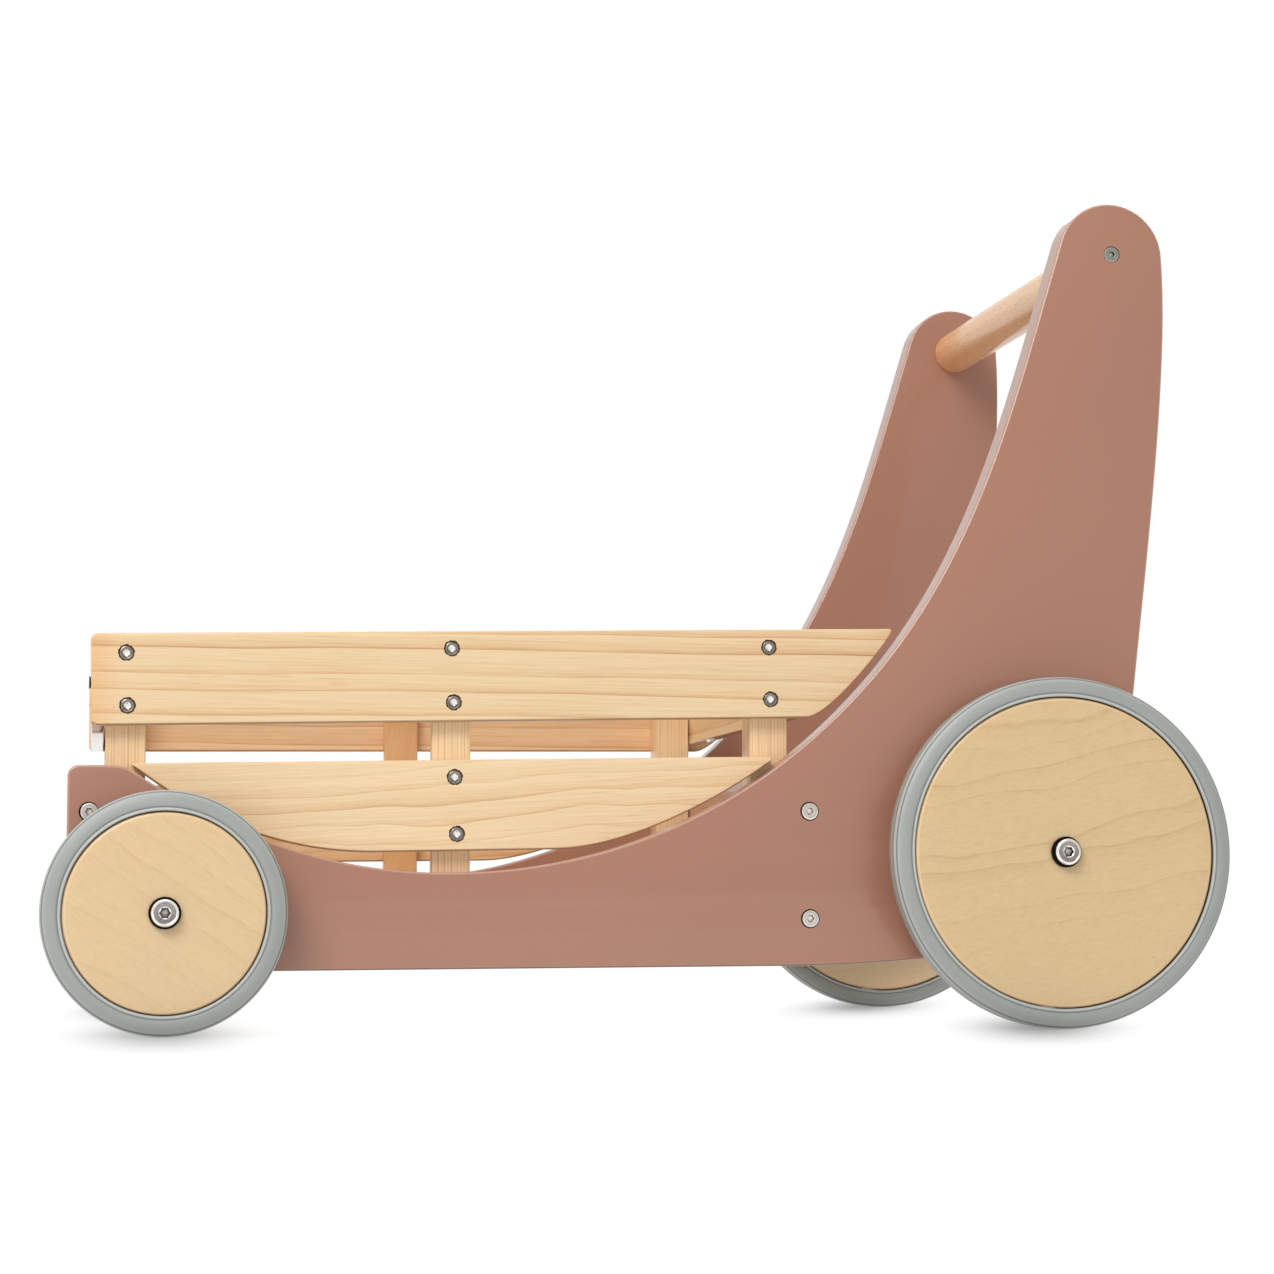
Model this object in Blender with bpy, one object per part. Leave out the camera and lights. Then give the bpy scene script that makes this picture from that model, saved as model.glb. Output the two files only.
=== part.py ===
# Baby push walker: a slatted crate between two painted side panels, on four
# wheels with rubber tyres, pushed by a round wooden handle.
# Metres, +Z up. The front faces -X, the left side faces -Y, the ground is Z = 0.

import math

import bmesh
import bpy

# Gap kept between pieces that touch
GAP = 0.0003

# Side panels
PANEL_T = 0.018
PANEL_OUT = 0.1575
PANEL_IN = PANEL_OUT - PANEL_T
PANEL_FRONT_X = -0.2943
PANEL_BOTTOM_Z = 0.0309
PANEL_EDGE = 0.0012
NOSE_TOP_Z = 0.1343
NOSE_CORNER = 0.0055
NOSE_START = (-0.2645, 0.1326)
FRONT_CORNER = 0.025
SWEEP_LOW = (-0.1046, 0.0807)
SWEEP_MID = (0.1162, 0.1782)
BOTTOM_RISE = (0.075, 0.0326)
AXLE_LOBE_R = 0.0445

# Handle
HANDLE_X = 0.2567
HANDLE_Z = 0.4146
HANDLE_R = 0.0125
HANDLE_SIDES = 24
HEAD = (0.2560, 0.4132)
HEAD_R = 0.029
HEAD_SPAN = (math.radians(4.0), math.radians(162.5))

# Wheels
WHEEL_SIDES = 40
REAR_TYRE_R = 0.0916
FRONT_TYRE_R = 0.0607
REAR_DISC_R = 0.0806
FRONT_DISC_R = 0.0499
FACET = math.cos(math.pi / WHEEL_SIDES)
REAR_AXLE = (0.2156, REAR_TYRE_R * FACET)
FRONT_AXLE = (-0.2464, FRONT_TYRE_R * FACET)
DISC_IN = 0.1725
DISC_OUT = 0.1875
DISC_EDGE = 0.001
TYRE_IN = 0.1715
TYRE_OUT = 0.1885
TYRE_SEAT = 0.0005
BORE_R = 0.006

# Axle bolts, bushes, spacers and nuts
SHANK_R = 0.004
FLANGE_R = 0.008
FLANGE_T = 0.0023
BOLT_HEAD_R = 0.0068
BOLT_HEAD_H = 0.003
BOLT_SOCKET_R = 0.0027
BOLT_SOCKET_DEPTH = 0.0024
BOLT_HEAD_EDGE = 0.0008
NUT_R = 0.0075
NUT_H = 0.0065
BOLT_TAIL = 0.001
HUB_SIDES = 16

# Countersunk screws through the panels
SCREW_HEAD_R = 0.0048
SCREW_RIM = 0.0008
SCREW_CONE = 0.0030
SCREW_R = 0.0026
SCREW_LENGTH = 0.045
SCREW_SOCKET_R = 0.0020
SCREW_SOCKET_DEPTH = 0.0022
SCREW_SIDES = 12
HEX_SIDES = 6

# Posts: the middle ones are flat strips, and the right ones stand a little further back
POST_W = 0.020
POST_DEPTH = {"front": 0.020, "middle": 0.008, "rear": 0.020}
POST_X = {
    "left": {"front": -0.2655, "middle": -0.0995, "rear": 0.0690},
    "right": {"front": -0.2632, "middle": -0.0963, "rear": 0.0690},
}
POST_BOTTOM_Z = 0.036
POST_TOP_Z = {"front": 0.1979, "middle": 0.2011, "rear": 0.2039}
POST_EDGE = 0.0008

# End boards and floor
BOARD_T = 0.015
BOARD_H = 0.100
BOARD_BOTTOM_Z = {"front": 0.0335, "rear": 0.0349}
BOARD_SCREW_Z = {"front": (0.0554, 0.1109), "rear": (0.0570, 0.1128)}
BOARD_EDGE = 0.0012
FLOOR_BOTTOM_Z = 0.036
FLOOR_T = 0.009

# Slats, and the tilt and drop at which each side slat is fixed
SLAT_T = 0.008
SLAT_H = 0.0467
SLAT_EDGE = 0.0014
SLAT_CORNER = 0.0026
SLAT_TIP_R = 0.0016
SLAT_FRONT_X = -0.2834
UPPER_SLAT_Z = 0.1591
LOWER_SLAT_Z = 0.0921
CROSS_SLAT_H = 0.0437
CROSS_SLAT_Z = {"front": 0.1558, "rear": 0.1627}
FRONT_CROSS_SKEW = 0.0018
SLAT_SET = {
    "left": {"upper": (math.radians(1.18), 0.0), "lower": (math.radians(1.03), 0.0)},
    "right": {"upper": (math.radians(0.46), 0.0011), "lower": (math.radians(0.60), 0.0010)},
}

SIDES = {"left": -1, "right": 1}

# Colours as sRGB 0 to 255, then roughness and metallic
FINISHES = {
    "paint": ((179, 133, 114), 0.50, 0.0),
    "pine": ((235, 199, 152), 0.55, 0.0),
    "plywood": ((226, 197, 150), 0.50, 0.0),
    "beech": ((208, 160, 112), 0.45, 0.0),
    "rubber": ((160, 161, 155), 0.60, 0.0),
    "black_plastic": ((28, 28, 28), 0.45, 0.0),
    "steel": ((190, 188, 184), 0.30, 1.0),
}


def linear(value):
    # An sRGB channel from 0 to 255 as linear light
    share = value / 255
    return share / 12.92 if share <= 0.04045 else ((share + 0.055) / 1.055) ** 2.4


def make_materials():
    made = {}
    for name, (colour, roughness, metallic) in FINISHES.items():
        material = bpy.data.materials.new(name)
        material.use_nodes = True
        shader = material.node_tree.nodes["Principled BSDF"]
        shader.inputs["Base Color"].default_value = (*map(linear, colour), 1)
        shader.inputs["Roughness"].default_value = roughness
        shader.inputs["Metallic"].default_value = metallic
        made[name] = material
    return made


def bezier(start, leave, arrive, end, steps):
    # Points along a cubic curve, without its last point
    points = []
    for k in range(steps):
        t = k / steps
        weights = ((1 - t) ** 3, 3 * t * (1 - t) ** 2, 3 * t * t * (1 - t), t**3)
        corners = zip(weights, (start, leave, arrive, end))
        weighted = [(w * p[0], w * p[1]) for w, p in corners]
        points.append((sum(p[0] for p in weighted), sum(p[1] for p in weighted)))
    return points


def arc(centre, radius, start, end, steps):
    # Points along a circle from one angle to another, with both ends
    turns = [start + (end - start) * k / steps for k in range(steps + 1)]
    return [(centre[0] + radius * math.cos(a), centre[1] + radius * math.sin(a)) for a in turns]


def turned_about(points, centre, angle):
    # The points of an outline turned about a centre
    c, s = math.cos(angle), math.sin(angle)
    out = []
    for x, z in points:
        dx, dz = x - centre[0], z - centre[1]
        out.append((centre[0] + c * dx - s * dz, centre[1] + s * dx + c * dz))
    return out


def add_object(name, mesh_edit, finish, location=(0, 0, 0)):
    # An object from a finished bmesh, with its faces turned outwards
    bmesh.ops.recalc_face_normals(mesh_edit, faces=mesh_edit.faces[:])
    mesh = bpy.data.meshes.new(name)
    mesh_edit.to_mesh(mesh)
    mesh_edit.free()
    obj = bpy.data.objects.new(name, mesh)
    obj.location = location
    bpy.context.collection.objects.link(obj)
    if finish:
        mesh.materials.append(MATERIALS[finish])
    return obj


def round_edges(obj, width, segments):
    bevel = obj.modifiers.new("edges", "BEVEL")
    bevel.width = width
    bevel.segments = segments
    bevel.limit_method = "ANGLE"
    bevel.angle_limit = math.radians(40)


def smooth(obj):
    obj.data.shade_smooth()
    obj.data.set_sharp_from_angle(angle=math.radians(35))


def extruded(name, outline, low, high, finish, along="Y"):
    # An outline in the XZ plane pushed along Y, or one in the XY plane pushed along Z
    edit = bmesh.new()
    rings = []
    for level in (low, high):
        spots = [(a, level, b) if along == "Y" else (a, b, level) for a, b in outline]
        rings.append([edit.verts.new(spot) for spot in spots])
    edit.faces.new(rings[0])
    edit.faces.new(rings[1])
    count = len(outline)
    for k in range(count):
        after = (k + 1) % count
        edit.faces.new((rings[0][k], rings[0][after], rings[1][after], rings[1][k]))
    return add_object(name, edit, finish)


def box(name, low, high, finish):
    corners = [(low[0], low[2]), (high[0], low[2]), (high[0], high[2]), (low[0], high[2])]
    return extruded(name, corners, low[1], high[1], finish)


def add_turned(edit, profile, sides, centre=(0, 0, 0), ring=False):
    # Sweeps (y, radius) points round a Y axis: a closed ring, or a solid with flat ends
    rows = []
    for y, radius in profile:
        turns = [(k + 0.5) * 2 * math.pi / sides for k in range(sides)]
        spots = [
            (centre[0] + radius * math.cos(a), centre[1] + y, centre[2] + radius * math.sin(a))
            for a in turns
        ]
        rows.append([edit.verts.new(spot) for spot in spots])
    joins = list(zip(rows, rows[1:]))
    if ring:
        joins.append((rows[-1], rows[0]))
    else:
        edit.faces.new(rows[0])
        edit.faces.new(rows[-1])
    for one, other in joins:
        for k in range(sides):
            after = (k + 1) % sides
            edit.faces.new((one[k], one[after], other[after], other[k]))


def turned(name, profile, sides, finish, location, ring=False):
    edit = bmesh.new()
    add_turned(edit, profile, sides, ring=ring)
    obj = add_object(name, edit, finish, location)
    smooth(obj)
    return obj


def cut(obj, profiles, sides):
    # Removes turned shapes, given as (profile, centre) pairs, from an object
    edit = bmesh.new()
    for profile, centre in profiles:
        add_turned(edit, profile, sides, centre)
    cutter = add_object(obj.name + "_cutter", edit, None)
    cutter.hide_render = True
    cutter.display_type = "WIRE"
    cutter.parent = obj.parent
    hole = obj.modifiers.new("holes", "BOOLEAN")
    hole.operation = "DIFFERENCE"
    hole.solver = "EXACT"
    hole.object = cutter


def outwards(side, pairs):
    # (distance from the middle, radius) pairs as (y, radius) on the given side
    return [(SIDES[side] * y, radius) for y, radius in pairs]


def socket_in(side, face, depth, radius):
    # A prism that sinks a socket into a face at the given distance from the middle
    return outwards(side, [(face - depth, radius), (face + depth, radius)])


def panel_outline():
    corner = (PANEL_FRONT_X + FRONT_CORNER, PANEL_BOTTOM_Z + FRONT_CORNER)
    nose = (PANEL_FRONT_X + NOSE_CORNER, NOSE_TOP_Z - NOSE_CORNER)
    nose_top = (-0.2765, NOSE_TOP_Z)
    lobe = arc(REAR_AXLE, AXLE_LOBE_R, math.radians(-79), 0, 8)
    head = arc(HEAD, HEAD_R, *HEAD_SPAN, 14)
    points = arc(corner, FRONT_CORNER, math.pi, 1.5 * math.pi, 6)
    # The bottom edge rises towards the rear axle and rounds it
    points += bezier(BOTTOM_RISE, (0.130, 0.0329), (0.1756, 0.0381), lobe[0], 6)
    points += lobe[:-1]
    # The rear edge, up to the round head about the handle
    points += bezier(lobe[-1], (0.2517, 0.1200), (0.2914, 0.3229), head[0], 14)
    points += head[:-1]
    # The front edge sweeps down into the crate's opening and up to the nose
    points += bezier(head[-1], (0.2016, 0.3367), (0.1806, 0.2480), SWEEP_MID, 14)
    points += bezier(SWEEP_MID, (0.0689, 0.1269), (-0.0020, SWEEP_LOW[1]), SWEEP_LOW, 14)
    points += bezier(SWEEP_LOW, (-0.1926, SWEEP_LOW[1]), (-0.2505, 0.1250), NOSE_START, 12)
    points += bezier(NOSE_START, (-0.2665, 0.1337), (-0.2715, NOSE_TOP_Z), nose_top, 4)
    points += [nose_top]
    points += arc(nose, NOSE_CORNER, 0.5 * math.pi, math.pi, 4)
    return points


def screw_profile(grow=0.0):
    # Distance from the screw's face and radius, for the screw or for the hole that takes it
    return [
        (-grow * 4, SCREW_HEAD_R + grow),
        (SCREW_RIM, SCREW_HEAD_R + grow),
        (SCREW_RIM + SCREW_CONE + grow, SCREW_R + grow),
        (SCREW_LENGTH + grow * 2, SCREW_R + grow),
    ]


def screw_on(side, grow=0.0):
    # The same profile measured from the middle, with the face on the panel's outside
    return outwards(side, [(PANEL_OUT - y, radius) for y, radius in screw_profile(grow)])


def screw_places():
    places = {}
    for end, board_x in BOARD_X.items():
        for height, z in zip(("lower", "upper"), BOARD_SCREW_Z[end]):
            places[f"{end}_board_screw_{height}"] = (board_x, z)
    places["handle_screw"] = (HANDLE_X, HANDLE_Z)
    return places


def add_panel(side):
    edges = sorted((SIDES[side] * PANEL_IN, SIDES[side] * PANEL_OUT))
    panel = extruded(f"side_panel_{side}", panel_outline(), *edges, "paint")
    round_edges(panel, PANEL_EDGE, 2)
    holes = [(screw_on(side, GAP), (x, 0, z)) for x, z in screw_places().values()]
    through = [(PANEL_IN - PANEL_T, SHANK_R + GAP), (PANEL_OUT + PANEL_T, SHANK_R + GAP)]
    holes += [(outwards(side, through), (x, 0, z)) for x, z in (FRONT_AXLE, REAR_AXLE)]
    cut(panel, holes, SCREW_SIDES)
    smooth(panel)


def add_screws(side):
    for name, (x, z) in screw_places().items():
        screw = turned(f"{name}_{side}", screw_on(side), SCREW_SIDES, "steel", (x, 0, z))
        socket = socket_in(side, PANEL_OUT, SCREW_SOCKET_DEPTH, SCREW_SOCKET_R)
        cut(screw, [(socket, (x, 0, z))], HEX_SIDES)


def add_boards():
    reach = PANEL_IN - GAP
    for end, board_x in BOARD_X.items():
        bottom = BOARD_BOTTOM_Z[end]
        low = (board_x - BOARD_T / 2, -reach, bottom)
        high = (board_x + BOARD_T / 2, reach, bottom + BOARD_H)
        board = box(f"{end}_board", low, high, "paint")
        round_edges(board, BOARD_EDGE, 1)
        heights = BOARD_SCREW_Z[end]
        holes = [(screw_on(side, GAP), (board_x, 0, z)) for side in SIDES for z in heights]
        cut(board, holes, SCREW_SIDES)


def floor_edge(side):
    # One side of the floor from front to rear, notched round that side's posts
    reach = PANEL_IN - GAP
    half = POST_W / 2 + GAP
    notch = {place: reach - depth - GAP for place, depth in POST_DEPTH.items()}
    front, middle, rear = POST_X[side].values()
    points = [
        (BOARD_X["front"] + BOARD_T / 2 + GAP, notch["front"]),
        (front + half, notch["front"]),
        (front + half, reach),
        (middle - half, reach),
        (middle - half, notch["middle"]),
        (middle + half, notch["middle"]),
        (middle + half, reach),
        (rear - half, reach),
        (rear - half, notch["rear"]),
        (BOARD_X["rear"] - BOARD_T / 2 - GAP, notch["rear"]),
    ]
    return [(x, SIDES[side] * y) for x, y in points]


def add_floor():
    outline = floor_edge("left") + floor_edge("right")[::-1]
    extruded("floor_board", outline, FLOOR_BOTTOM_Z, FLOOR_BOTTOM_Z + FLOOR_T, "plywood", along="Z")


def add_posts(side):
    for place, x in POST_X[side].items():
        edges = sorted(SIDES[side] * (PANEL_IN - GAP - depth) for depth in (0, POST_DEPTH[place]))
        low = (x - POST_W / 2, edges[0], POST_BOTTOM_Z)
        high = (x + POST_W / 2, edges[1], POST_TOP_Z[place])
        post = box(f"{place}_post_{side}", low, high, "pine")
        round_edges(post, POST_EDGE, 1)


def upper_slat_outline():
    low, high = UPPER_SLAT_Z, UPPER_SLAT_Z + SLAT_H
    front = SLAT_FRONT_X + SLAT_CORNER
    points = arc((front, low + SLAT_CORNER), SLAT_CORNER, math.pi, 1.5 * math.pi, 3)
    # The rear end follows the panel's sweep up to a small round tip
    points += bezier((0.0874, low), (0.1003, low), (0.1336, 0.1996), (0.1349, high - 0.0022), 10)
    tip = (0.1336, high - SLAT_TIP_R)
    points += arc(tip, SLAT_TIP_R, 0, 0.5 * math.pi, 2)
    points += arc((front, high - SLAT_CORNER), SLAT_CORNER, 0.5 * math.pi, math.pi, 3)
    return points


def lower_slat_outline():
    low, high = LOWER_SLAT_Z, LOWER_SLAT_Z + SLAT_H
    points = bezier((-0.2619, high - 0.001), (-0.2157, 0.1006), (-0.1719, low), (-0.1382, low), 8)
    points += bezier((-0.0454, low), (-0.0080, low), (0.0434, 0.1179), (0.0693, high - 0.002), 8)
    points += [(0.0688, high - 0.0004), (0.0673, high), (-0.2609, high)]
    return points


def add_side_slats(side):
    edges = sorted(SIDES[side] * y for y in (PANEL_IN, PANEL_IN + SLAT_T))
    for name, outline in (("upper", upper_slat_outline()), ("lower", lower_slat_outline())):
        tilt, drop = SLAT_SET[side][name]
        heights = [z for _, z in outline]
        lengths = [x for x, _ in outline]
        centre = ((min(lengths) + max(lengths)) / 2, (min(heights) + max(heights)) / 2)
        placed = [(x, z - drop) for x, z in turned_about(outline, centre, tilt)]
        slat = extruded(f"{name}_slat_{side}", placed, *edges, "pine")
        round_edges(slat, SLAT_EDGE, 2)


def add_cross_slats():
    # Strips across the posts' outer faces; the front one's right end sits further back
    reach = PANEL_IN - GAP
    front_face = POST_X["left"]["front"] - POST_W / 2 - GAP
    rear_face = POST_X["left"]["rear"] + POST_W / 2 + GAP
    spans = {
        "front": (front_face - SLAT_T, front_face, FRONT_CROSS_SKEW),
        "rear": (rear_face, rear_face + SLAT_T, 0.0),
    }
    for end, (low_x, high_x, skew) in spans.items():
        outline = [(low_x, -reach), (high_x, -reach), (high_x + skew, reach), (low_x + skew, reach)]
        bottom = CROSS_SLAT_Z[end]
        slat = extruded(f"{end}_cross_slat", outline, bottom, bottom + CROSS_SLAT_H, "pine", along="Z")
        round_edges(slat, SLAT_EDGE, 2)


def add_handle():
    reach = PANEL_IN - GAP
    handle = turned(
        "handle",
        [(-reach, HANDLE_R), (reach, HANDLE_R)],
        HANDLE_SIDES,
        "beech",
        (HANDLE_X, 0, HANDLE_Z),
    )
    holes = [(screw_on(side, GAP), (HANDLE_X, 0, HANDLE_Z)) for side in SIDES]
    cut(handle, holes, SCREW_SIDES)


def add_wheel(end, side, axle, disc_r, tyre_r):
    # The wheel's own pieces hang from an empty on the axle
    label = f"{end}_{side}"
    hub = bpy.data.objects.new(f"{label}_wheel", None)
    hub.location = (axle[0], 0, axle[1])
    bpy.context.collection.objects.link(hub)
    disc = [
        (DISC_IN, BORE_R),
        (DISC_IN, disc_r - DISC_EDGE),
        (DISC_IN + DISC_EDGE, disc_r),
        (DISC_OUT - DISC_EDGE, disc_r),
        (DISC_OUT, disc_r - DISC_EDGE),
        (DISC_OUT, BORE_R),
    ]
    seat = disc_r + TYRE_SEAT
    outer_half = [
        (TYRE_OUT - 0.0050, tyre_r),
        (TYRE_OUT - 0.0015, tyre_r - 0.0014),
        (TYRE_OUT, tyre_r - 0.0048),
        (TYRE_OUT, seat + 0.0012),
        (TYRE_OUT - 0.0008, seat),
    ]
    inner_half = [(TYRE_IN + TYRE_OUT - y, radius) for y, radius in reversed(outer_half)]
    bush = [
        (DISC_IN, SHANK_R + GAP),
        (DISC_IN, BORE_R - GAP),
        (DISC_OUT + GAP, BORE_R - GAP),
        (DISC_OUT + GAP, FLANGE_R),
        (DISC_OUT + GAP + FLANGE_T, FLANGE_R - 0.0003),
        (DISC_OUT + GAP + FLANGE_T, SHANK_R + GAP),
    ]
    pieces = {
        "disc": (disc, WHEEL_SIDES, "plywood"),
        "tyre": (outer_half + inner_half, WHEEL_SIDES, "rubber"),
        "bush": (bush, HUB_SIDES, "black_plastic"),
    }
    for name, (profile, sides, finish) in pieces.items():
        piece = turned(f"{label}_{name}", outwards(side, profile), sides, finish, (0, 0, 0), ring=True)
        piece.parent = hub


def add_axle(end, side, axle):
    # The fixed pieces: a bolt from outside the wheel to a nut inside the panel, and a spacer
    label = f"{end}_{side}"
    place = (axle[0], 0, axle[1])
    spacer = [
        (PANEL_OUT + GAP, SHANK_R + GAP),
        (PANEL_OUT + GAP, FLANGE_R),
        (DISC_IN - GAP, FLANGE_R),
        (DISC_IN - GAP, SHANK_R + GAP),
    ]
    turned(f"{label}_spacer", outwards(side, spacer), HUB_SIDES, "black_plastic", place, ring=True)
    nut_out = PANEL_IN - GAP
    nut = outwards(side, [(nut_out - NUT_H, NUT_R), (nut_out, NUT_R)])
    bore = outwards(side, [(nut_out - 2 * NUT_H, SHANK_R + GAP), (nut_out + NUT_H, SHANK_R + GAP)])
    hexagon = turned(f"{label}_nut", nut, HEX_SIDES, "steel", place)
    cut(hexagon, [(bore, place)], SCREW_SIDES)
    seat = DISC_OUT + FLANGE_T + 2 * GAP
    top = seat + BOLT_HEAD_H
    bolt = [
        (nut_out - NUT_H - BOLT_TAIL, SHANK_R),
        (seat, SHANK_R),
        (seat, BOLT_HEAD_R),
        (top - BOLT_HEAD_EDGE, BOLT_HEAD_R),
        (top, BOLT_HEAD_R - BOLT_HEAD_EDGE),
    ]
    made = turned(f"{label}_axle_bolt", outwards(side, bolt), HUB_SIDES, "steel", place)
    socket = socket_in(side, top, BOLT_SOCKET_DEPTH, BOLT_SOCKET_R)
    cut(made, [(socket, place)], HEX_SIDES)


for stray in list(bpy.data.objects):
    bpy.data.objects.remove(stray)
MATERIALS = make_materials()
BOARD_X = {
    "front": POST_X["left"]["front"] - POST_W / 2 - GAP - BOARD_T / 2,
    "rear": POST_X["left"]["rear"] + POST_W / 2 + GAP + BOARD_T / 2,
}

add_boards()
add_floor()
add_handle()
add_cross_slats()
for walker_side in SIDES:
    add_panel(walker_side)
    add_screws(walker_side)
    add_posts(walker_side)
    add_side_slats(walker_side)
    add_wheel("front", walker_side, FRONT_AXLE, FRONT_DISC_R, FRONT_TYRE_R)
    add_wheel("rear", walker_side, REAR_AXLE, REAR_DISC_R, REAR_TYRE_R)
    add_axle("front", walker_side, FRONT_AXLE)
    add_axle("rear", walker_side, REAR_AXLE)
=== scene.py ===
# Baby push walker: finished wood, paint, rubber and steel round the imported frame
import math

import bmesh
import bpy
import numpy as np
from mathutils import Matrix, Vector
from mathutils.geometry import tessellate_polygon


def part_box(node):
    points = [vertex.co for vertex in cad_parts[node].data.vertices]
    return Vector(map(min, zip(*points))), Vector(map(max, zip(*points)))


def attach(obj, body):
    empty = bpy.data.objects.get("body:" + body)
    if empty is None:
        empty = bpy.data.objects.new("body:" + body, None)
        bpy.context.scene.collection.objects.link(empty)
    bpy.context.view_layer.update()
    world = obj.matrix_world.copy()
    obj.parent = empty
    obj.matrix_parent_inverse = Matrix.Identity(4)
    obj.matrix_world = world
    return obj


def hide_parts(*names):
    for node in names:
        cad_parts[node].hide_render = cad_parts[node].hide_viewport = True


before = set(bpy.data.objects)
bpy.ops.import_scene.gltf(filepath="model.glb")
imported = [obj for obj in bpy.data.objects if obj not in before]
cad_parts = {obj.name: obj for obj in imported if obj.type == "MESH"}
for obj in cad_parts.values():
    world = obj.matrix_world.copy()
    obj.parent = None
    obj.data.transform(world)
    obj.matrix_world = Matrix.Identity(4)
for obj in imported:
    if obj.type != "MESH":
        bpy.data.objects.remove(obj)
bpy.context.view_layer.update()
sides = {"left": -1, "right": 1}
# welding distance, width of the strip behind a rounded edge, points round a hole and the waves of a torn one
fine = {"weld": 1e-7, "strip": 0.0005, "holeCount": 48, "holeWaves": ((5, 1.0), (9, 2.3), (14, 4.1))}


def gridFaces(rows, columns, closeRows=False, first=0):
    # quads between row i and i+1, column j and j+1, with the columns closed round
    i = np.arange(rows if closeRows else rows - 1)[:, None]
    j = np.arange(columns)[None, :]
    below = (i + 1) % rows
    after = (j + 1) % columns
    corners = [i * columns + j, i * columns + after, below * columns + after, below * columns + j]
    return (np.stack(np.broadcast_arrays(*corners), -1).reshape(-1, 4) + first).tolist()


def addPiece(name, shape, body, finish, replaced=(), sharp=38):
    # a mesh at the origin from (points, faces, values), welded, facing outwards
    points, faces, values = shape
    mesh = bpy.data.meshes.new(name)
    mesh.from_pydata(np.asarray(points).tolist(), [], faces)
    mesh.attributes.new("edge", "FLOAT", "POINT").data.foreach_set("value", np.asarray(values, np.float32))
    edit = bmesh.new()
    edit.from_mesh(mesh)
    bmesh.ops.remove_doubles(edit, verts=edit.verts[:], dist=fine["weld"])
    bmesh.ops.recalc_face_normals(edit, faces=edit.faces[:])
    edit.to_mesh(mesh)
    edit.free()
    mesh.shade_smooth()
    mesh.set_sharp_from_angle(angle=math.radians(sharp))
    mesh.materials.append(finish)
    made = bpy.data.objects.new(name, mesh)
    bpy.context.scene.collection.objects.link(made)
    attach(made, body)
    if replaced:
        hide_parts(*replaced)


def bezier(start, leave, arrive, end, count):
    # cubic curve: the four points weighted by (1-t)^3, 3t(1-t)^2, 3t^2(1-t), t^3, last point left off
    t = (np.arange(count) / count)[:, None]
    weights = [(1 - t) ** 3, 3 * t * (1 - t) ** 2, 3 * t * t * (1 - t), t**3]
    return sum(w * np.array(p) for w, p in zip(weights, (start, leave, arrive, end)))


def arc(centre, radius, start, end, count):
    # circle points centre + radius·(cos a, sin a) for a from start to end in degrees, both ends kept
    a = np.radians(np.linspace(start, end, count + 1))[:, None]
    return np.array(centre) + radius * np.hstack([np.cos(a), np.sin(a)])


def roundedRectangle(low, high, radius, count=6):
    # four corner arcs joined by straight sides, anticlockwise
    (x0, z0), (x1, z1) = np.add(low, radius), np.subtract(high, radius)
    corners = [(x1, z0), (x1, z1), (x0, z1), (x0, z0)]
    return np.vstack([arc(c, radius, 90 * k - 90, 90 * k, count) for k, c in enumerate(corners)])


def outwardOf(outline):
    # unit normals of a closed anticlockwise outline: the mean of the two side normals, stretched to a mitre
    step = np.roll(outline, -1, 0) - outline
    step = step / np.linalg.norm(step, axis=1)[:, None]
    normal = np.stack([step[:, 1], -step[:, 0]], 1)
    mean = normal + np.roll(normal, 1, 0)
    mean = mean / np.linalg.norm(mean, axis=1)[:, None]
    return mean / np.clip((mean * normal).sum(1), 0.6, 1)[:, None]


def placed(flat, depth, axes):
    # flat (a, b) points at a depth, with axes naming where a, b and depth go, such as "XZY"
    out = np.empty((len(flat), 3))
    for name, values in zip(axes, (flat[:, 0], flat[:, 1], depth)):
        out[:, "XYZ".index(name)] = values
    return out


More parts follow.
